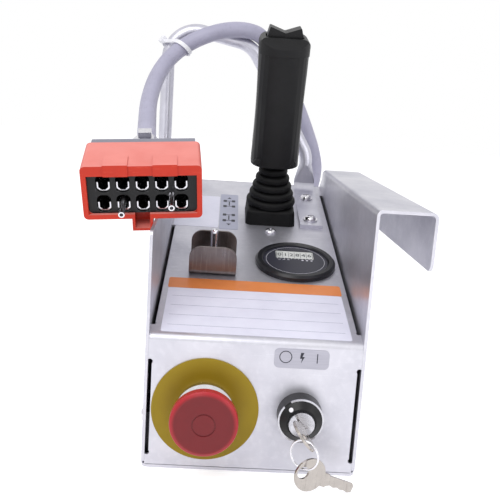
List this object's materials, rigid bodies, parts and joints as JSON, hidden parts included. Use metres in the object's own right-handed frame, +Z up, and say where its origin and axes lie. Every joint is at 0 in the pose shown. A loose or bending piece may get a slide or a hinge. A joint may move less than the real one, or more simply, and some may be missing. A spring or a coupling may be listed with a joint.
{
  "type": "scissor lift control box",
  "caption": "Sheet-metal platform control box with joystick, guarded toggle, hour meter, stop button, key switch, rail hook, guard hoop and a cable with a plug.",
  "frame": {"origin": "middle of the underside of the base plate", "axes": "+X to the operator's right, +Y from the front face to the rear, +Z up"},
  "size_m": [0.2221, 0.3873, 0.3034],
  "materials": {
    "housing_metal": "satin",
    "bracket_metal": "satin",
    "zinc": "polished",
    "stop_yellow": "satin",
    "stop_red": "gloss",
    "black_plastic": "matt",
    "grip_plastic": "satin",
    "lock_metal": "polished",
    "key_metal": "nickel plated",
    "legend_metal": "satin",
    "guard_metal": "satin",
    "meter_black": "satin",
    "window_grey": "gloss",
    "rubber_black": "matt",
    "bar_metal": "satin",
    "cable_grey": "matt",
    "tie_white": "matt",
    "plug_orange": "satin",
    "plug_grey": "satin",
    "board_green": "satin",
    "brass_part": "satin"
  },
  "bodies": {
    "housing": {"base_plate": "housing_metal", "control_panel": "housing_metal", "left_side_plate": "housing_metal", "right_side_plate": "housing_metal", "rear_plate": "housing_metal", "corner_brackets": "bracket_metal", "side_screws": "zinc", "base_screws": "zinc", "stop_disc": "stop_yellow", "stop_collar": "zinc", "stop_nut": "zinc", "stop_contact_block": "black_plastic", "legend_plate": "legend_metal", "key_bezel": "black_plastic", "key_rim": "lock_metal", "key_contact_block": "black_plastic", "toggle_guard": "guard_metal", "toggle_bushing": "zinc", "toggle_nut": "zinc", "toggle_body": "black_plastic", "meter_bezel": "meter_black", "meter_face": "meter_black", "meter_window": "window_grey", "meter_case": "meter_black", "meter_clamp": "black_plastic", "stick_base": "bracket_metal", "panel_screws": "zinc", "guard_hoop": "bar_metal", "hoop_screws": "zinc", "hoop_washers": "zinc", "cable_gland": "black_plastic", "gland_nut": "black_plastic", "cable": "cable_grey", "zip_tie": "tie_white", "plug_hood": "plug_grey", "plug_clamp": "zinc", "plug_housing": "plug_orange", "plug_insert": "black_plastic", "plug_contacts": "zinc", "plug_pins": "zinc", "standoffs": "brass_part", "control_board": "board_green", "board_parts": "black_plastic"},
    "stop_plunger": {"stop_stem": "stop_red"},
    "stop_button": {"stop_cap": "stop_red"},
    "lock": {"lock_cylinder": "lock_metal", "key": "key_metal"},
    "ring": {"key_ring": "zinc"},
    "spare": {"spare_key": "key_metal"},
    "toggle": {"toggle_lever": "zinc"},
    "stick": {"stick_shaft": "zinc", "boot": "rubber_black", "grip_body": "grip_plastic", "grip_cap": "grip_plastic", "grip_screws": "black_plastic"},
    "thumb_rocker": {"rocker": "grip_plastic"},
    "finger_trigger": {"trigger": "grip_plastic"}
  },
  "joints": [
    {"name": "stop_push", "type": "slide", "parent": "housing", "child": "stop_plunger", "axis": [0, 1, 0], "range_m": [0, 0.005]},
    {"name": "stop_twist", "type": "hinge", "parent": "stop_plunger", "child": "stop_button", "pos_m": [-0.03, -0.15, 0.0415], "axis": [0, 1, 0], "range_deg": [0, 30], "stiffness_Nm_per_rad": 0.02},
    {"name": "lock_turn", "type": "hinge", "parent": "housing", "child": "lock", "pos_m": [0.03, -0.15, 0.0415], "axis": [0, 1, 0], "range_deg": [0, 75]},
    {"name": "ring_swing", "type": "hinge", "parent": "lock", "child": "ring", "pos_m": [0.03, -0.175, 0.0415], "axis": [0, 1, 0], "range_deg": [-75, 8]},
    {"name": "spare_swing", "type": "hinge", "parent": "ring", "child": "spare", "pos_m": [0.03026, -0.175, 0.02099], "axis": [0.3746, -0.9272, 0], "range_deg": [-40, 8]},
    {"name": "toggle_tilt", "type": "hinge", "parent": "housing", "child": "toggle", "pos_m": [-0.031, -0.04446, 0.11479], "axis": [0, 0.9703, 0.2419], "range_deg": [-12, 12]},
    {"name": "stick_tilt", "type": "hinge", "parent": "housing", "child": "stick", "pos_m": [0.0145, 0.05969, 0.12283], "axis": [1, 0, 0], "range_deg": [-18, 18], "stiffness_Nm_per_rad": 4, "deforming": ["boot"]},
    {"name": "rocker_tilt", "type": "hinge", "parent": "stick", "child": "thumb_rocker", "pos_m": [0.0145, 0.0196, 0.28361], "axis": [0, 0.9703, 0.2419], "range_deg": [-6, 6], "stiffness_Nm_per_rad": 0.05},
    {"name": "trigger_pull", "type": "hinge", "parent": "stick", "child": "finger_trigger", "pos_m": [0.0145, 0.04159, 0.26157], "axis": [-1, 0, 0], "range_deg": [0, 12], "stiffness_Nm_per_rad": 0.05}
  ]
}
